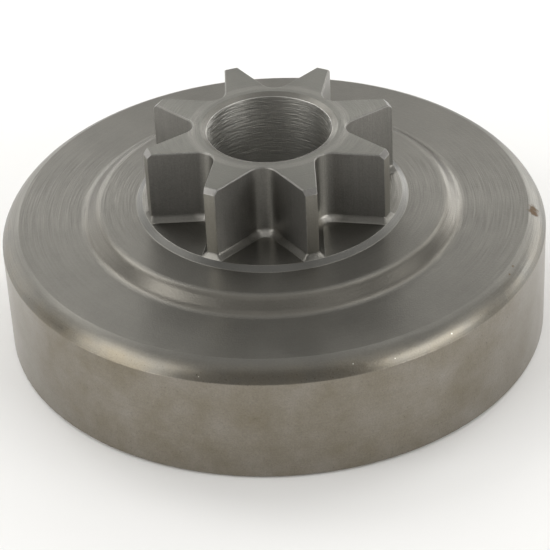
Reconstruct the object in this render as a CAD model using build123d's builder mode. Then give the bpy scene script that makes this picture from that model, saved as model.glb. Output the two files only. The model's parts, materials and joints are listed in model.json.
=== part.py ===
"""Clutch drum with an eight-tooth spur sprocket: one steel piece.

The open rim of the drum lies on Z = 0 and the sprocket points up, along +Z.
A tooth gap is centred on +X.
"""
import math
import os

from build123d import *

os.makedirs("parts", exist_ok=True)

# Drum cup, open at the bottom (all lengths in millimetres)
drum_diameter = 75.0
drum_height = 17.5
wall_thickness = 2.6
web_thickness = 2.6
shoulder_width = 2.4  # across and down, from the web to the wall
shoulder_round = 4.0  # flatter than a quarter round, so that both its edges stay crisp
corner_bevel = 1.0  # inside, between the wall and the web
rim_break = 0.4  # bevel on both edges of the open rim

# Step that lifts the middle of the web
step_rise = 1.8
step_run = 2.05
step_bend = 1.8
seat_width = 5.2  # flat ring between the flange and the step

# Flange that the sprocket stands on
flange_rise = 0.55
flange_margin = 0.4  # flange top beyond the tooth tips
flange_slope = 0.9

# Sprocket for a saw chain, whose drive links stand two pitches apart
chain_pitch = 8.255
strap_drop = 2.5  # from the rivet line to the strap edge that rides on a tooth tip
tooth_count = 8
tooth_height = 10.5
tip_land = 1.6
tip_bevel = 0.65
gap_round = 2.1  # floor of a tooth gap
gap_wall = 1.9  # steel between the bore and the floor of a tooth gap
base_bevel = 0.75  # between the teeth and the flange
top_edge_break = 0.15

# Bore for the needle cage
bore_diameter = 17.0
mouth_width = 0.8
mouth_depth = 0.4
bore_foot_break = 0.5

# Steel left on the outside of the blank for turning
stock_allowance = 0.5

drum_radius = drum_diameter / 2
cup_radius = drum_radius - wall_thickness
bore_radius = bore_diameter / 2
stock_radius = drum_radius + stock_allowance

seat_height = drum_height + step_rise
flange_height = seat_height + flange_rise
sprocket_top = flange_height + tooth_height
web_underside = drum_height - web_thickness
seat_underside = seat_height - web_thickness

# The straps of the chain ride on the tooth tips
tip_radius = chain_pitch / math.tan(math.pi / tooth_count) - strap_drop
flange_top_radius = tip_radius + flange_margin
flange_foot_radius = flange_top_radius + flange_slope
step_top_radius = flange_foot_radius + seat_width
step_foot_radius = step_top_radius + step_run

# The underside of the web follows the step at the same thickness
step_angle = math.atan2(step_rise, step_run)
bend_shift = web_thickness * math.tan(step_angle / 2)

# A straight flank runs from the tooth's corner to the round floor of the gap
gap_centre = bore_radius + gap_wall + gap_round
corner_angle = math.pi / tooth_count - math.asin(tip_land / 2 / tip_radius)
corner_x = tip_radius * math.cos(corner_angle) - gap_centre
corner_y = tip_radius * math.sin(corner_angle)
flank_length = math.sqrt(corner_x**2 + corner_y**2 - gap_round**2)
flank_angle = math.degrees(math.atan2(corner_y, corner_x) - math.atan2(gap_round, flank_length))

# One tooth gap, open well past the tips
with BuildSketch() as gap:
    with BuildLine():
        floor = CenterArc((gap_centre, 0), gap_round, 180, flank_angle - 90)
        flank = PolarLine(floor @ 1, 2 * flank_length, flank_angle)
        Line(flank @ 1, ((flank @ 1).X, 0))
        mirror(about=Plane.XZ)
    make_face()

with BuildPart() as drum:
    # Blank up to the flange
    with BuildSketch():
        Circle(stock_radius)
    extrude(amount=flange_height)

    # Teeth, with a bevel along their base and their top edges broken
    with BuildSketch(Plane.XY.offset(flange_height)):
        Circle(tip_radius + stock_allowance)
        with PolarLocations(0, tooth_count):
            add(gap.sketch, mode=Mode.SUBTRACT)
    extrude(amount=tooth_height)
    chamfer(drum.edges(Select.LAST).group_by(Axis.Z)[0], base_bevel)
    chamfer(drum.edges().group_by(Axis.Z)[-1], top_edge_break)

    # Outside, turned from the bevel on the tooth tips down to the rim
    with BuildSketch(Plane.XZ):
        with BuildLine():
            outside = FilletPolyline(
                (tip_radius - 2 * tip_bevel, sprocket_top + tip_bevel),
                (tip_radius, sprocket_top - tip_bevel),
                (tip_radius, flange_height + base_bevel),
                (flange_top_radius, flange_height),
                (flange_foot_radius, seat_height),
                (step_top_radius, seat_height),
                (step_foot_radius, drum_height),
                (drum_radius - shoulder_width, drum_height),
                radius=(0, 0, 0, 0, step_bend, step_bend),
            )
            shoulder = RadiusArc(outside @ 1, (drum_radius, drum_height - shoulder_width), shoulder_round)
            Polyline(
                shoulder @ 1,
                (drum_radius, rim_break),
                (drum_radius - 2 * rim_break, -rim_break),
                (stock_radius + stock_allowance, -rim_break),
                (stock_radius + stock_allowance, sprocket_top + tip_bevel),
                outside @ 0,
            )
        make_face()
    revolve(axis=Axis.Z, mode=Mode.SUBTRACT)

    # Inside of the cup
    with BuildSketch(Plane.XZ):
        with BuildLine():
            Polyline(
                (cup_radius + 2 * rim_break, -rim_break),
                (cup_radius, rim_break),
                (cup_radius, web_underside - corner_bevel),
                (cup_radius - corner_bevel, web_underside),
                (step_foot_radius - bend_shift, web_underside),
                (step_top_radius - bend_shift, seat_underside),
                (0, seat_underside),
                (0, -rim_break),
                close=True,
            )
        make_face()
    revolve(axis=Axis.Z, mode=Mode.SUBTRACT)

    # Bore, countersunk at the top and broken at the foot
    Hole(bore_radius)
    bore_edges = drum.edges(Select.LAST).filter_by(GeomType.CIRCLE).sort_by(Axis.Z)
    top_face = drum.faces().sort_by(Axis.Z)[-1]
    chamfer(bore_edges[-1], length=mouth_width, length2=mouth_depth, reference=top_face)
    chamfer(bore_edges[0], length=bore_foot_break)

drum.part.label = "clutch_drum_sprocket"
export_step(drum.part, "parts/clutch_drum_sprocket.step")
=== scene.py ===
"""Looks of the clutch drum sprocket: dull turned steel, standing on its rim on a pale studio floor.

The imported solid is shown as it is. This script gives it its steel, with the marks of the lathe and of use,
and sets up the floor, the light and the camera of the photograph. The scene's lengths are metres; sizes of
the object and of its patterns are written in millimetres.
"""

import json
import logging
import math
from dataclasses import dataclass
from enum import Enum
from typing import Any

import bpy
import numpy as np
from mathutils import Matrix, Vector


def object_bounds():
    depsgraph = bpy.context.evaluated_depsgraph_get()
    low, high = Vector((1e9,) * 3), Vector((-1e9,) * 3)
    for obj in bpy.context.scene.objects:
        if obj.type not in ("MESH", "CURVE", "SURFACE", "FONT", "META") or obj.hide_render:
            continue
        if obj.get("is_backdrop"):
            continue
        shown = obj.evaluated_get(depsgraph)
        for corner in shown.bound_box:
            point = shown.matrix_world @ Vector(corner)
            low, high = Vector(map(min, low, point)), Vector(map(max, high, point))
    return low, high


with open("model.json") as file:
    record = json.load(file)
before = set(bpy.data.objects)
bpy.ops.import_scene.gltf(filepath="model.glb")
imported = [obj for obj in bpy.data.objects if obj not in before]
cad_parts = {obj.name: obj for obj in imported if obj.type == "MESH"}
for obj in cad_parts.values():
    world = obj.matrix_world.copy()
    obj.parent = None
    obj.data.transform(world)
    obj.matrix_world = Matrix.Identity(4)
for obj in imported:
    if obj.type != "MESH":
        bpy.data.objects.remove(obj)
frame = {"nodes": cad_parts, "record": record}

MM = 0.001
log = logging.getLogger("clutch_drum_sprocket")

# Places of the colour sockets on a Mix node, whose names repeat
MIX_A = 6
MIX_B = 7
MIX_RESULT = 2

Socket = bpy.types.NodeSocket
Node = bpy.types.Node
Tree = bpy.types.NodeTree


def linear_colour(hex_code: str) -> tuple[float, float, float, float]:
    """Turns an sRGB hex value into the linear colour that sockets take.

    Args:
        hex_code: Six hex digits after a hash sign.

    Returns:
        Linear red, green and blue, and an alpha of 1.
    """
    levels = np.array([int(hex_code[start:start + 2], 16) for start in (1, 3, 5)]) / 255
    linear = np.where(levels <= 0.04045, levels / 12.92, ((levels + 0.055) / 1.055) ** 2.4)
    return (*linear.tolist(), 1.0)


def towards(azimuth_deg: float, elevation_deg: float) -> Vector:
    """Gives the direction of a place in the studio.

    Args:
        azimuth_deg: 0 in front of the object, 90 to its right.
        elevation_deg: Angle over the floor.

    Returns:
        A vector of length 1 from the object to that place.
    """
    azimuth = math.radians(azimuth_deg)
    elevation = math.radians(elevation_deg)
    flat = math.cos(elevation)
    return Vector((math.sin(azimuth) * flat, -math.cos(azimuth) * flat, math.sin(elevation)))


def add_node(
    tree: Tree,
    kind: str,
    settings: dict[str | int, Any] | None = None,
    links: dict[str | int, Node | Socket] | None = None,
) -> Node:
    """Adds a node to a tree, with its settings and the links that feed it.

    Args:
        tree: The node tree that gets the node.
        kind: Name of the type of node, without the ShaderNode that it begins with.
        settings: Values by the name of a property, or by the name or number of an input.
        links: Sources by the name or number of the input that they feed. A node stands for its first output.

    Returns:
        The new node.
    """
    node = tree.nodes.new(f"ShaderNode{kind}")
    for key, value in (settings or {}).items():
        if isinstance(key, str) and hasattr(node, key):
            setattr(node, key, value)
        else:
            node.inputs[key].default_value = value
    for key, source in (links or {}).items():
        socket = source.outputs[0] if isinstance(source, bpy.types.Node) else source
        tree.links.new(socket, node.inputs[key])
    return node


class MarkKind(Enum):
    """What a single mark on the steel is, with its colour."""

    RUST = "#5c4830"
    BRIGHT_NICK = "#d8d5ca"


@dataclass(frozen=True)
class Mark:
    """One small mark on the web or the shoulder, in degrees round the axis from +X and in millimetres."""

    kind: MarkKind
    around_deg: float
    radius: float
    size: float


@dataclass(frozen=True)
class DrumSizes:
    """Heights and radii of the drum that its finish follows, in millimetres."""

    bore_radius: float
    sprocket_top: float
    drum_radius: float
    drum_height: float = 17.5
    shoulder_width: float = 2.4
    shoulder_round: float = 4.0
    step_rise: float = 1.8
    flange_height: float = 19.85
    flange_top_radius: float = 17.83
    base_bevel: float = 0.75
    tip_radius: float = 17.43
    tip_bevel: float = 0.65
    gap_wall: float = 1.9

    @classmethod
    def from_frame(cls, record: dict[str, Any], box: tuple[Vector, Vector]) -> "DrumSizes":
        """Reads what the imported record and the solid's box say.

        Args:
            record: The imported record.
            box: Lowest and highest corner of the solid, in metres.

        Returns:
            The sizes of this drum.
        """
        mounts = {mount["name"]: mount for mount in record["mounts"]}
        return cls(
            bore_radius=mounts["needle_bore"]["dims"]["r_mm"],
            sprocket_top=mounts["washer_face"]["pos_m"][2] / MM,
            drum_radius=box[1].x / MM,
        )

    def place_of(self, mark: Mark) -> tuple[float, float, float]:
        """Finds a mark's place: the web is flat, and the shoulder is an arc that bulges over its chord.

        Args:
            mark: The mark, by its angle and its distance from the axis.

        Returns:
            Its place in millimetres.
        """
        half_chord = self.shoulder_width / math.sqrt(2)
        depth = math.sqrt(self.shoulder_round**2 - half_chord**2) / math.sqrt(2)
        centre_radius = self.drum_radius - self.shoulder_width / 2 - depth
        centre_height = self.drum_height - self.shoulder_width / 2 - depth
        height = self.drum_height
        if mark.radius > self.drum_radius - self.shoulder_width:
            height = centre_height + math.sqrt(self.shoulder_round**2 - (mark.radius - centre_radius) ** 2)
        around = math.radians(mark.around_deg)
        return (mark.radius * math.cos(around), mark.radius * math.sin(around), height)


class Part(Enum):
    """The parts of the drum whose finish differs from that of its web."""

    SHOULDER = "shoulder"
    WALL = "wall"
    STEP = "step"
    FLANGE = "slope of the flange"
    FLOOR = "flange between the teeth"
    TOP = "top of the sprocket"
    TEETH = "teeth"
    GAP_FLOORS = "floors of the tooth gaps"
    TIPS = "tips of the teeth"
    TIP_BEVELS = "bevels on the tips"
    BASE = "base of the teeth"
    # Painted highlight: lighter at the foot of each tooth gap, where its rounding would catch the light
    ROOT_HIGHLIGHT = "base of the tooth gaps"
    BORE = "bore"


@dataclass(frozen=True)
class Finish:
    """How the tool left a part, in millimetres."""

    colour: str
    roughness: float = 0.3
    marks: float = 1.0  # how deep the marks of the tool are, with the web at 1
    rounding: float = 0.16  # how far edges look rounded
    speckle: float = 0.2  # how far the grain shades its colour


@dataclass(frozen=True)
class Zone:
    """Where a part lies: a band of radius and height, in millimetres."""

    radius: tuple[float, float]
    height: tuple[float, float]
    blur: float  # width over which its edge fades
    least_sum: float = 0.0  # of radius and height, for what lies on a bevel


@dataclass(frozen=True)
class Spot:
    """What the steps of a material share: its nodes, and where on the drum the shaded point lies."""

    tree: Tree
    sizes: DrumSizes
    place: Node  # in millimetres
    across: Node  # the same without its height
    radius: Socket
    height: Socket


@dataclass(frozen=True)
class TurnedSteel:
    """Plain carbon steel, turned on a lathe, its teeth cut along the axis, then handled and lightly oiled.

    To the eye it is a dull grey mirror: it shows its surroundings blurred, and the rings left by the tool
    draw them out across the rings, most of all in the bore, where they make upright streaks. The wall is
    browner than the web and mottled, and wall and shoulder are painted darker and browner towards the front,
    a painted shade; edges are rubbed bright here and there, and a few spots of rust and nicks sit on the web
    and the shoulder. Sizes are millimetres.
    """

    name: str = "turned_carbon_steel"
    web: Finish = Finish("#716f69", roughness=0.38)
    shoulder: Finish = Finish("#797771", speckle=0.35)
    wall: Finish = Finish("#9a958d", speckle=0.4)
    step: Finish = Finish("#6c6962", marks=0.6, rounding=0.3)
    flange: Finish = Finish("#63625e", marks=0.6)
    floor: Finish = Finish("#86847e", marks=0.6)
    top: Finish = Finish("#6e6d67", marks=0.7)
    teeth: Finish = Finish("#85837e", roughness=0.42, marks=1.6, speckle=0.4)
    gap_floors: Finish = Finish("#898781", roughness=0.42, marks=1.6, speckle=0.4)
    tips: Finish = Finish("#8e8b83")
    tip_bevels: Finish = Finish("#7f7d79")
    base: Finish = Finish("#74726c", marks=0.5, rounding=0.6)
    # Painted highlight at the foot of each tooth gap: much lighter than the base of the teeth
    root_highlight: Finish = Finish("#a8a59e", marks=0.5, rounding=0.6)
    bore: Finish = Finish("#c6c4be", roughness=0.4, marks=13.5)
    # Browner colour for mottled stains on wall and shoulder, and for a painted shade that grows towards the
    # front
    wall_stain_and_front_shade: str = "#7b7466"
    painted_shade_behind: float = -0.3  # painted shade behind and in front, darker and browner towards the front, before the clouds add stains
    painted_shade_in_front: float = 0.25
    stain_clouds: float = 0.8  # how much the clouds add to it
    rubbed_steel: str = "#a09e99"
    rubbed_length: float = 1.2  # of a stretch of edge that is rubbed bright
    rust_roughness: float = 0.4  # over that of the steel round it
    ragged_size: float = 0.4  # of the waves in a mark's outline
    mark_fade: float = 0.2  # share of a mark's size over which its outline fades, each way
    stretch: float = 0.6  # how far the rings draw a reflection out, across them
    feed: float = 0.22  # width of a ring; coarser than real ones, so that the rings show
    ring_depth: float = 0.011
    ring_reach: float = 4.0  # how often a ring fades and returns on its way round
    plain_rings: float = 0.5  # how deep the rings are in front, behind and on the wall
    side_rings_and_highlights: float = 3.2  # how much deeper they are on the two sides that face the left and right lamps; there they also shade the colour more, which is partly painted highlight and shade
    side_focus: float = 10.0  # how closely the deep ones keep to those sides
    ring_shade: float = 0.2  # how far rings and scratches shade the colour
    scratch_pitch: float = 0.3  # coarser than real scratches, so that they show
    scratch_length: float = 9.0
    grain_size: float = 0.22
    grain_share: float = 1.6  # depth of the grain, with the rings of the web at 1
    grain_gloss: float = 0.3  # how far the grain changes the gloss
    cloud_size: float = 6.0
    cloud_shade: float = 0.3  # how far the clouds shade the colour

    def parts(self, sizes: DrumSizes) -> dict[Part, tuple[Zone, Finish]]:
        """Lists the parts that differ from the web, later ones over earlier ones.

        Args:
            sizes: Where they lie.

        Returns:
            Zone and finish of each part.
        """
        top = sizes.sprocket_top
        rim = sizes.drum_radius
        web = sizes.drum_height
        flange = sizes.flange_height
        root = sizes.bore_radius + sizes.gap_wall
        hair = 0.02  # sets two faces apart where they meet

        # Bounds past the drum, for bands that are open on one side
        far = rim + 1.0
        below = -1.0
        above = top + 1.0

        wall_top = web - sizes.shoulder_width + 0.1
        step_band = (web + 0.1, web + sizes.step_rise - 0.1)
        toothed = (root - 0.4, sizes.flange_top_radius)
        tooth_band = (flange + hair, top - hair)
        base_band = (flange + hair, flange + sizes.base_bevel + 0.1)
        bevel_sum = sizes.tip_radius + top - sizes.tip_bevel - 0.05
        return {
            Part.SHOULDER: (Zone((rim - 1.9, far), (below, web - 0.7), 1.2), self.shoulder),
            Part.WALL: (Zone((rim - 1.0, far), (below, wall_top), 0.1), self.wall),
            Part.STEP: (Zone((root, far), step_band, 0.2), self.step),
            Part.FLANGE: (Zone((root, far), (flange - 0.5, flange - hair), hair), self.flange),
            Part.FLOOR: (Zone(toothed, (flange - hair, flange + hair), hair / 2), self.floor),
            Part.TOP: (Zone((0.0, far), (top - hair, above), hair), self.top),
            Part.TEETH: (Zone(toothed, tooth_band, hair), self.teeth),
            Part.GAP_FLOORS: (Zone((root - 0.4, root + 0.6), tooth_band, 0.4), self.gap_floors),
            Part.TIPS: (Zone((sizes.tip_radius - 0.05, far), tooth_band, hair), self.tips),
            Part.TIP_BEVELS: (Zone((root, far), (flange, top - hair), hair, bevel_sum), self.tip_bevels),
            Part.BASE: (Zone(toothed, base_band, hair), self.base),
            Part.ROOT_HIGHLIGHT: (Zone((0.0, root + 1.6), base_band, 0.8), self.root_highlight),
            Part.BORE: (Zone((0.0, sizes.bore_radius + 0.05), (below, above), hair), self.bore),
        }

    def make(self, sizes: DrumSizes, marks: tuple[Mark, ...]) -> bpy.types.Material:
        """Builds the material from the object's own coordinates.

        Args:
            sizes: Where the parts of the drum lie.
            marks: Rust spots and nicks.

        Returns:
            The material.
        """
        material = bpy.data.materials.new(self.name)
        material.use_nodes = True
        tree = material.node_tree
        tree.nodes.clear()
        metres = add_node(tree, "TexCoord").outputs["Object"]
        place = add_node(tree, "VectorMath", {"operation": "SCALE", "Scale": 1 / MM}, {0: metres})
        across = add_node(tree, "VectorMath", {"operation": "MULTIPLY", 1: (1, 1, 0)}, {0: place})
        spot = Spot(
            tree=tree,
            sizes=sizes,
            place=place,
            across=across,
            radius=add_node(tree, "VectorMath", {"operation": "LENGTH"}, {0: across}).outputs["Value"],
            height=add_node(tree, "SeparateXYZ", links={0: place}).outputs["Z"],
        )

        # Finish of each part over that of the web
        shares: dict[Part, Node] = {}
        colour = self.web.colour
        rough = self.web.roughness
        depth = self.web.marks
        rounding = self.web.rounding
        speckle = self.web.speckle
        for part, (zone, finish) in self.parts(sizes).items():
            share = self.inside(spot, zone)
            shares[part] = share
            colour = self.lay_over(tree, share, colour, finish.colour)
            rough = self.lay_over(tree, share, rough, finish.roughness)
            depth = self.lay_over(tree, share, depth, finish.marks)
            rounding = self.lay_over(tree, share, rounding, finish.rounding)
            speckle = self.lay_over(tree, share, speckle, finish.speckle)

        tool_marks = self.tool_marks(spot, shares)
        normal, worn = self.worn_edges(spot, shares, rounding)
        grain = self.noise(tree, spot.place, self.grain_size, 1.0)
        relief = add_node(tree, "Math", {"operation": "MULTIPLY"}, {0: tool_marks, 1: depth})
        add_grain = {"operation": "MULTIPLY_ADD", 1: self.grain_share}
        relief = add_node(tree, "Math", add_grain, {0: grain, 2: relief})
        bump = {"Distance": self.ring_depth * MM}
        normal = add_node(tree, "Bump", bump, {"Height": relief, "Normal": normal})
        speckles = add_node(tree, "Math", {"operation": "MULTIPLY"}, {0: grain, 1: speckle})
        colour, rough = self.shaded(spot, shares[Part.SHOULDER], tool_marks, speckles, colour, rough)
        colour = self.lay_over(tree, worn, colour, self.rubbed_steel)
        spotted = {kind: self.spots(spot, marks, kind) for kind in MarkKind}
        for kind, share in spotted.items():
            colour = self.lay_over(tree, share, colour, kind.value)

        # Rust is rough and is no metal
        rusty = spotted[MarkKind.RUST]
        bare = add_node(tree, "Math", {"operation": "SUBTRACT", 0: 1.0}, {1: rusty})
        roughen = {"operation": "MULTIPLY_ADD", 1: self.rust_roughness}
        rough = add_node(tree, "Math", roughen, {0: rusty, 2: rough})
        round_axis = add_node(tree, "Tangent", {"direction_type": "RADIAL", "axis": "Z"})
        inputs = {
            "Base Color": colour,
            "Metallic": bare,
            "Roughness": rough,
            "Normal": normal,
            "Tangent": round_axis,
        }

        # A quarter turn from the tangent, so that reflections are drawn out across the rings
        streaks = {"Anisotropic": self.stretch, "Anisotropic Rotation": 0.25}
        shader = add_node(tree, "BsdfPrincipled", streaks, inputs)
        add_node(tree, "OutputMaterial", links={"Surface": shader})
        return material

    def lay_over(self, tree: Tree, share: Node, under: Socket | str | float, over: str | float) -> Socket:
        """Lays one colour over another, or one number over another.

        Args:
            tree: The material's nodes.
            share: How much of the upper one shows, from 0 to 1.
            under: The lower one, as a socket, a hex value or a number.
            over: The upper one, as a hex value or a number.

        Returns:
            The blend of both.
        """
        coloured = isinstance(over, str)
        lower, upper, result = (MIX_A, MIX_B, MIX_RESULT) if coloured else ("A", "B", 0)
        settings = {"data_type": "RGBA" if coloured else "FLOAT"}
        settings[upper] = linear_colour(over) if coloured else over
        links = {"Factor": share}
        if isinstance(under, Socket):
            links[lower] = under
        else:
            settings[lower] = linear_colour(under) if coloured else under
        return add_node(tree, "Mix", settings, links).outputs[result]

    def inside(self, spot: Spot, zone: Zone) -> Node:
        """Tests whether the shaded point lies in a zone.

        Args:
            spot: Where on the drum the point lies.
            zone: The zone.

        Returns:
            A node that is 1 in the zone and 0 elsewhere, with a blurred edge.
        """
        tree = spot.tree
        half = zone.blur / 2
        both = add_node(tree, "Math", {"operation": "ADD"}, {0: spot.radius, 1: spot.height})
        least = {"From Min": zone.least_sum - half, "From Max": zone.least_sum + half}
        share = add_node(tree, "MapRange", least, {"Value": both})
        for value, (low, high) in ((spot.radius, zone.radius), (spot.height, zone.height)):
            for start, full in ((low - half, low + half), (high + half, high - half)):
                ramp = add_node(tree, "MapRange", {"From Min": start, "From Max": full}, {"Value": value})
                share = add_node(tree, "Math", {"operation": "MULTIPLY"}, {0: share, 1: ramp})
        return share

    def noise(self, tree: Tree, vector: Node, lump: float, detail: float) -> Node:
        """Makes noise whose values lie about 0.

        Args:
            tree: The material's nodes.
            vector: Place in the noise.
            lump: Size of its lumps.
            detail: How many finer layers it has.

        Returns:
            A node with values from about -0.5 to 0.5.
        """
        settings = {"Scale": 1 / lump, "Detail": detail, "Roughness": 0.6}
        waves = add_node(tree, "TexNoise", settings, {"Vector": vector})
        return add_node(tree, "Math", {"operation": "SUBTRACT", 1: 0.5}, {0: waves})

    def tool_marks(self, spot: Spot, shares: dict[Part, Node]) -> Socket:
        """Draws rings round the axis on all that was turned, and scratches along it on the teeth.

        The rings follow the feed of the tool along the turned section, where radius grows or height falls.
        They come from noise that changes quickly along the section and slowly round the axis, where the
        place is a point on a circle, so that they fade and return and close on themselves. They are
        deepest on the two sides that face the left and right lamps, save on the wall; as they also shade the
        colour, there the rings are partly painted highlight and shade.

        Args:
            spot: Where on the drum the point lies.
            shares: Masks of the parts.

        Returns:
            A height about 0.
        """
        tree = spot.tree
        along = add_node(tree, "Math", {"operation": "SUBTRACT"}, {0: spot.radius, 1: spot.height})
        ring_number = add_node(tree, "Math", {"operation": "DIVIDE", 1: self.feed}, {0: along})
        ring_axis = add_node(tree, "CombineXYZ", links={"Z": ring_number})
        circle = add_node(tree, "VectorMath", {"operation": "NORMALIZE"}, {0: spot.across})
        widen = {"operation": "MULTIPLY_ADD", 1: (self.ring_reach, self.ring_reach, 0)}
        ring_place = add_node(tree, "VectorMath", widen, {0: circle, 2: ring_axis})
        rings = self.noise(tree, ring_place, 1.0, 1.0)
        # Painted highlight and shade: rings, which also shade the colour, are deepest on the sides that face
        # the left and right lamps
        sideways = add_node(tree, "SeparateXYZ", links={0: circle}).outputs["X"]
        on_sides = add_node(tree, "Math", {"operation": "POWER", 1: self.side_focus}, {0: sideways})
        off_wall = add_node(tree, "Math", {"operation": "SUBTRACT", 0: 1.0}, {1: shares[Part.WALL]})
        on_sides = add_node(tree, "Math", {"operation": "MULTIPLY"}, {0: on_sides, 1: off_wall})
        deepen_and_highlight = {"operation": "MULTIPLY_ADD", 1: self.side_rings_and_highlights, 2: self.plain_rings}
        strength = add_node(tree, "Math", deepen_and_highlight, {0: on_sides})
        rings = add_node(tree, "Math", {"operation": "MULTIPLY"}, {0: rings, 1: strength})

        fine = 1 / self.scratch_pitch
        draw_out = {"operation": "MULTIPLY", 1: (fine, fine, 1 / self.scratch_length)}
        scratch_place = add_node(tree, "VectorMath", draw_out, {0: spot.place})
        scratches = self.noise(tree, scratch_place, 1.0, 2.0)
        both = {"Factor": shares[Part.TEETH], "A": rings, "B": scratches}
        return add_node(tree, "Mix", {"data_type": "FLOAT"}, both).outputs[0]

    def worn_edges(self, spot: Spot, shares: dict[Part, Node], rounding: Socket) -> tuple[Node, Node]:
        """Rounds the edges for the eye, and finds them: there the rounded normal leaves the face's own.

        Args:
            spot: Where on the drum the point lies.
            shares: Masks of the parts.
            rounding: How far edges look rounded, in millimetres.

        Returns:
            The rounded normal, and a mask that is 1 on edges that are rubbed bright.
        """
        tree = spot.tree
        reach = add_node(tree, "Math", {"operation": "MULTIPLY", 1: MM}, {0: rounding})
        rounded = add_node(tree, "Bevel", {"samples": 8}, {"Radius": reach})
        own = add_node(tree, "NewGeometry").outputs["Normal"]
        agreement = add_node(tree, "VectorMath", {"operation": "DOT_PRODUCT"}, {0: rounded, 1: own})
        bent = {"From Min": 0.98, "From Max": 0.9}
        edge = add_node(tree, "MapRange", bent, {"Value": agreement.outputs["Value"]})
        patches = self.noise(tree, spot.place, self.rubbed_length, 3.0)
        here_and_there = add_node(tree, "MapRange", {"From Min": -0.15, "From Max": 0.15}, {"Value": patches})
        worn = add_node(tree, "Math", {"operation": "MULTIPLY"}, {0: edge, 1: here_and_there})
        for part in (Part.STEP, Part.BASE):
            elsewhere = add_node(tree, "Math", {"operation": "SUBTRACT", 0: 1.0}, {1: shares[part]})
            worn = add_node(tree, "Math", {"operation": "MULTIPLY"}, {0: worn, 1: elsewhere})

        # A turned face never leans round the axis; what lean its normal has comes from its facets
        turn = add_node(tree, "VectorMath", {"operation": "CROSS_PRODUCT", 0: (0, 0, 1)}, {1: spot.across})
        turn = add_node(tree, "VectorMath", {"operation": "NORMALIZE"}, {0: turn})
        lean = add_node(tree, "VectorMath", {"operation": "DOT_PRODUCT"}, {0: rounded, 1: turn})
        turned = add_node(tree, "Math", {"operation": "SUBTRACT", 0: 1.0}, {1: shares[Part.TEETH]})
        stray = add_node(tree, "Math", {"operation": "MULTIPLY"}, {0: lean.outputs["Value"], 1: turned})
        offset = add_node(tree, "VectorMath", {"operation": "SCALE"}, {0: turn, "Scale": stray})
        normal = add_node(tree, "VectorMath", {"operation": "SUBTRACT"}, {0: rounded, 1: offset})
        return normal, worn

    def shaded(
        self, spot: Spot, on_outside: Node, tool_marks: Socket, speckles: Node, colour: Socket, rough: Socket
    ) -> tuple[Socket, Node]:
        """Stains the wall and the shoulder and paints them darker towards the front, and shades colour and
        gloss a little.

        A painted shade, darker and browner, grows from the middle to the front, and clouds add mottled stains
        over it. Rings, grain and clouds shade the colour, and the grain changes the gloss.

        Args:
            spot: Where on the drum the point lies.
            on_outside: 1 on the wall and the shoulder, 0 elsewhere.
            tool_marks: Height of rings and scratches about 0.
            speckles: Shading by the grain, about 0.
            colour: Colour of the clean steel.
            rough: Roughness of the clean steel.

        Returns:
            The shaded colour and roughness.
        """
        tree = spot.tree
        clouds = self.noise(tree, spot.place, self.cloud_size, 5.0)
        mottled = add_node(tree, "MapRange", {"From Min": -0.2, "From Max": 0.2}, {"Value": clouds})
        # Painted shade: wall and shoulder grow darker and browner towards the front; the clouds add mottled
        # stains
        front_shade_ramp = {
            "From Min": 0.0,
            "From Max": -spot.sizes.drum_radius,
            "To Min": self.painted_shade_behind,
            "To Max": self.painted_shade_in_front,
        }
        behind = add_node(tree, "SeparateXYZ", links={0: spot.place}).outputs["Y"]
        stain_and_front_shade = add_node(tree, "MapRange", front_shade_ramp, {"Value": behind})
        break_up = {"operation": "MULTIPLY_ADD", 1: self.stain_clouds}
        stain_and_front_shade = add_node(tree, "Math", break_up, {0: mottled, 2: stain_and_front_shade})
        keep_outside = {"operation": "MULTIPLY", "use_clamp": True}
        stain_and_front_shade = add_node(tree, "Math", keep_outside, {0: on_outside, 1: stain_and_front_shade})
        colour = self.lay_over(tree, stain_and_front_shade, colour, self.wall_stain_and_front_shade)
        by_rings = {"operation": "MULTIPLY_ADD", 1: self.ring_shade, 2: 1.0}
        shade = add_node(tree, "Math", by_rings, {0: tool_marks})
        shade = add_node(tree, "Math", {"operation": "ADD"}, {0: shade, 1: speckles})
        by_clouds = {"operation": "MULTIPLY_ADD", 1: self.cloud_shade}
        shade = add_node(tree, "Math", by_clouds, {0: clouds, 2: shade})
        shaded = add_node(tree, "VectorMath", {"operation": "SCALE"}, {0: colour, "Scale": shade})
        gloss = {"operation": "MULTIPLY_ADD", 1: self.grain_gloss}
        return shaded.outputs[0], add_node(tree, "Math", gloss, {0: speckles, 2: rough})

    def spots(self, spot: Spot, marks: tuple[Mark, ...], kind: MarkKind) -> Node:
        """Draws marks of one kind as small round spots with ragged edges.

        Distance from a mark's middle plus noise of about half its size is compared with its size.

        Args:
            spot: Where on the drum the point lies.
            marks: All the marks, at least one of each kind.
            kind: The kind to draw.

        Returns:
            A node that is 1 inside a spot and 0 outside all of them.
        """
        tree = spot.tree
        waves = {"Scale": 1 / self.ragged_size, "Detail": 3.0}
        ragged = add_node(tree, "TexNoise", waves, {"Vector": spot.place})
        found: list[Node] = []
        for mark in marks:
            if mark.kind is not kind:
                continue
            middle = {"operation": "DISTANCE", 1: spot.sizes.place_of(mark)}
            away = add_node(tree, "VectorMath", middle, {0: spot.place}).outputs["Value"]
            away = add_node(tree, "Math", {"operation": "MULTIPLY_ADD", 1: mark.size}, {0: ragged, 2: away})
            outline = {
                "From Min": (1 + self.mark_fade) * mark.size,
                "From Max": (1 - self.mark_fade) * mark.size,
            }
            found.append(add_node(tree, "MapRange", outline, {"Value": away}))
        together = found[0]
        for one in found[1:]:
            together = add_node(tree, "Math", {"operation": "MAXIMUM"}, {0: together, 1: one})
        return together


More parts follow.
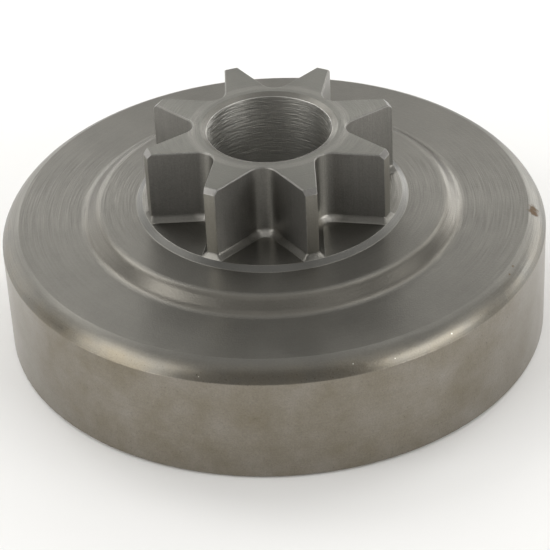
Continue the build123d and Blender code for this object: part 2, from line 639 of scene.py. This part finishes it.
@dataclass(frozen=True)
class StudioPaper:
    """Matte white paper from the roll: it has no gloss and a very slight cloudiness, in millimetres."""

    name: str = "matte_studio_paper"
    white: str = "#f6f5f3"
    shade: str = "#f0efec"
    cloud_size: float = 90.0

    def make(self) -> bpy.types.Material:
        """Builds the material.

        Returns:
            The material.
        """
        material = bpy.data.materials.new(self.name)
        material.use_nodes = True
        tree = material.node_tree
        tree.nodes.clear()
        place = add_node(tree, "TexCoord").outputs["Object"]
        clouds = add_node(tree, "TexNoise", {"Scale": 1 / (self.cloud_size * MM)}, {"Vector": place})
        tones = {"data_type": "RGBA", MIX_A: linear_colour(self.white), MIX_B: linear_colour(self.shade)}
        colour = add_node(tree, "Mix", tones, {"Factor": clouds}).outputs[MIX_RESULT]
        matte = {"Roughness": 1.0, "Specular IOR Level": 0.0}
        shader = add_node(tree, "BsdfPrincipled", matte, {"Base Color": colour})
        add_node(tree, "OutputMaterial", links={"Surface": shader})
        return material


@dataclass(frozen=True)
class SoftBox:
    """One flat lamp behind a diffuser, turned to the object, in metres."""

    name: str
    azimuth_deg: float
    elevation_deg: float
    width: float
    height: float
    radiance: float
    distance: float = 0.9

    def hang(self, aim: Vector) -> bpy.types.Object:
        """Adds the lamp, at the power that gives its face the wanted radiance.

        Args:
            aim: The point that it faces.

        Returns:
            The lamp.
        """
        outwards = towards(self.azimuth_deg, self.elevation_deg)
        data = bpy.data.lights.new(self.name, "AREA")
        data.shape = "RECTANGLE"
        data.size = self.width
        data.size_y = self.height
        data.energy = self.radiance * math.pi * self.width * self.height
        lamp = bpy.data.objects.new(self.name, data)
        lamp.location = aim + outwards * self.distance
        lamp.rotation_euler = outwards.to_track_quat("Z", "Y").to_euler()
        bpy.context.scene.collection.objects.link(lamp)
        return lamp


@dataclass
class Studio:
    """Paper that runs under the object and up behind it, soft boxes round it, and dim air, in metres."""

    soft_boxes: tuple[SoftBox, ...]
    half_width: float = 2.0
    front: float = -2.0
    back: float = 0.9
    sweep_radius: float = 0.5
    sweep_top: float = 1.2
    sweep_points: int = 24
    columns: int = 9
    air: str = "#9b9b9b"

    def build(self, aim: Vector) -> list[bpy.types.Object]:
        """Makes the paper, the lamps and the air.

        Args:
            aim: Middle of the object.

        Returns:
            The paper and the lamps.
        """
        world = bpy.data.worlds.new("studio_air")
        world.use_nodes = True
        world.node_tree.nodes["Background"].inputs["Color"].default_value = linear_colour(self.air)
        bpy.context.scene.world = world
        bpy.context.scene.view_settings.view_transform = "Standard"
        return [self.paper(), *(soft_box.hang(aim) for soft_box in self.soft_boxes)]

    def paper(self) -> bpy.types.Object:
        """Sweeps one profile sideways: flat floor, a quarter round, and a straight rise behind.

        Returns:
            The sheet of paper, marked as stage.
        """
        turn = np.linspace(0, np.pi / 2, self.sweep_points)
        wall = self.back + self.sweep_radius
        y = np.concatenate([[self.front], self.back + self.sweep_radius * np.sin(turn), [wall]])
        z = np.concatenate([[0.0], self.sweep_radius * (1 - np.cos(turn)), [self.sweep_top]])
        x = np.linspace(-self.half_width, self.half_width, self.columns)
        grid = np.stack(np.broadcast_arrays(x[None, :], y[:, None], z[:, None]), axis=-1)
        number = np.arange(y.size * x.size).reshape(y.size, x.size)
        corners = (number[:-1, :-1], number[:-1, 1:], number[1:, 1:], number[1:, :-1])
        faces = np.stack(corners, axis=-1).reshape(-1, 4)
        mesh = bpy.data.meshes.new("studio_paper")
        mesh.from_pydata(grid.reshape(-1, 3).tolist(), [], faces.tolist())
        mesh.shade_smooth()
        mesh.materials.append(StudioPaper().make())
        sheet = bpy.data.objects.new("studio_paper", mesh)
        bpy.context.scene.collection.objects.link(sheet)
        sheet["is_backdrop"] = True
        return sheet


@dataclass(frozen=True)
class PhotoCamera:
    """The photograph's camera, found from the drum's rings and teeth, in degrees and millimetres."""

    azimuth_deg: float = 5.687
    elevation_deg: float = 34.769
    roll_deg: float = -2.879
    distance: float = 321.58
    aim_height: float = 15.0
    aim_right: float = -0.18
    aim_up: float = -7.47
    lens: float = 151.93
    nearest: float = 10.0  # what is nearer isn't shown

    def place(self) -> bpy.types.Object:
        """Adds the camera and makes it the scene's.

        Returns:
            The camera.
        """
        back = towards(self.azimuth_deg, self.elevation_deg)
        right = towards(self.azimuth_deg + 90, 0)
        up = back.cross(right)
        aim = Vector((0, 0, self.aim_height)) + self.aim_right * right + self.aim_up * up
        roll = Matrix.Rotation(math.radians(self.roll_deg), 3, back)
        axes = Matrix((roll @ right, roll @ up, back)).transposed()
        data = bpy.data.cameras.new("photo_camera")
        data.lens = self.lens
        data.clip_start = self.nearest * MM
        camera = bpy.data.objects.new("photo_camera", data)
        camera.matrix_world = Matrix.Translation((aim + self.distance * back) * MM) @ axes.to_4x4()
        bpy.context.scene.collection.objects.link(camera)
        bpy.context.scene.camera = camera
        return camera


@dataclass
class ClutchDrum:
    """The drum and its sprocket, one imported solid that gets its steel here."""

    solid: bpy.types.Object
    sizes: DrumSizes
    marks: tuple[Mark, ...]
    steel: TurnedSteel

    def dress(self) -> None:
        """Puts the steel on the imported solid."""
        self.solid.material_slots[0].material = self.steel.make(self.sizes, self.marks)


# One larger rust speck of two spots, smaller ones, and nicks along the shoulder
MARKS = (
    Mark(MarkKind.RUST, around_deg=-1.3, radius=35.75, size=1.3),
    Mark(MarkKind.RUST, around_deg=0.2, radius=35.75, size=1.3),
    Mark(MarkKind.RUST, around_deg=-23.0, radius=35.6, size=0.3),
    Mark(MarkKind.RUST, around_deg=-25.8, radius=35.9, size=0.3),
    Mark(MarkKind.RUST, around_deg=-97.7, radius=28.2, size=0.2),
    Mark(MarkKind.BRIGHT_NICK, around_deg=-100.6, radius=37.2, size=0.15),
    Mark(MarkKind.BRIGHT_NICK, around_deg=-47.8, radius=37.0, size=0.2),
    Mark(MarkKind.BRIGHT_NICK, around_deg=-61.4, radius=37.1, size=0.15),
    Mark(MarkKind.BRIGHT_NICK, around_deg=-70.0, radius=36.7, size=0.15),
)

# The steel mirrors these, so each one lights the faces that lean its way
SOFT_BOXES = (
    SoftBox("left_box", azimuth_deg=-58, elevation_deg=24, width=0.64, height=0.76, radiance=2.35),
    SoftBox("left_high_box", azimuth_deg=-82, elevation_deg=44, width=0.35, height=0.25, radiance=1.5),
    SoftBox("left_side_box", azimuth_deg=-101, elevation_deg=20, width=0.3, height=0.6, radiance=0.5),
    SoftBox("right_box", azimuth_deg=66, elevation_deg=20, width=0.64, height=0.34, radiance=4.1),
    SoftBox("right_high_box", azimuth_deg=50, elevation_deg=48, width=0.3, height=0.25, radiance=0.8),
    SoftBox("right_side_box", azimuth_deg=97, elevation_deg=28, width=0.3, height=0.6, radiance=0.7),
    SoftBox("back_box", azimuth_deg=180, elevation_deg=25, width=1.3, height=0.25, radiance=1.6),
    SoftBox("back_left_box", azimuth_deg=-135, elevation_deg=14, width=0.92, height=0.5, radiance=1.2),
    SoftBox("back_right_box", azimuth_deg=135, elevation_deg=8, width=0.95, height=0.22, radiance=3.1),
    SoftBox("back_right_high_box", azimuth_deg=140, elevation_deg=37, width=0.35, height=0.3, radiance=2.2),
    SoftBox("high_back_box", azimuth_deg=180, elevation_deg=66, width=0.7, height=0.4, radiance=0.5),
    SoftBox("top_box", azimuth_deg=0, elevation_deg=82, width=0.8, height=0.8, radiance=0.42),
    SoftBox("top_left_box", azimuth_deg=-132, elevation_deg=48, width=0.37, height=0.35, radiance=3.5),
    SoftBox("top_right_box", azimuth_deg=135, elevation_deg=60, width=0.37, height=0.35, radiance=1.5),
)


def main() -> None:
    """Dresses the drum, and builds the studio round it."""
    logging.basicConfig(level=logging.INFO, format="%(name)s: %(message)s")
    cad_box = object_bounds()
    drum = ClutchDrum(
        solid=frame["nodes"]["clutch_drum_sprocket"],
        sizes=DrumSizes.from_frame(frame["record"], cad_box),
        marks=MARKS,
        steel=TurnedSteel(),
    )
    drum.dress()
    log.info("%s dressed in %s", drum.solid.name, drum.steel.name)

    middle = (cad_box[0] + cad_box[1]) / 2
    for piece in Studio(SOFT_BOXES).build(middle):
        log.info("%s set up", piece.name)
    log.info("%s placed", PhotoCamera().place().name)


if __name__ == "__main__":
    main()
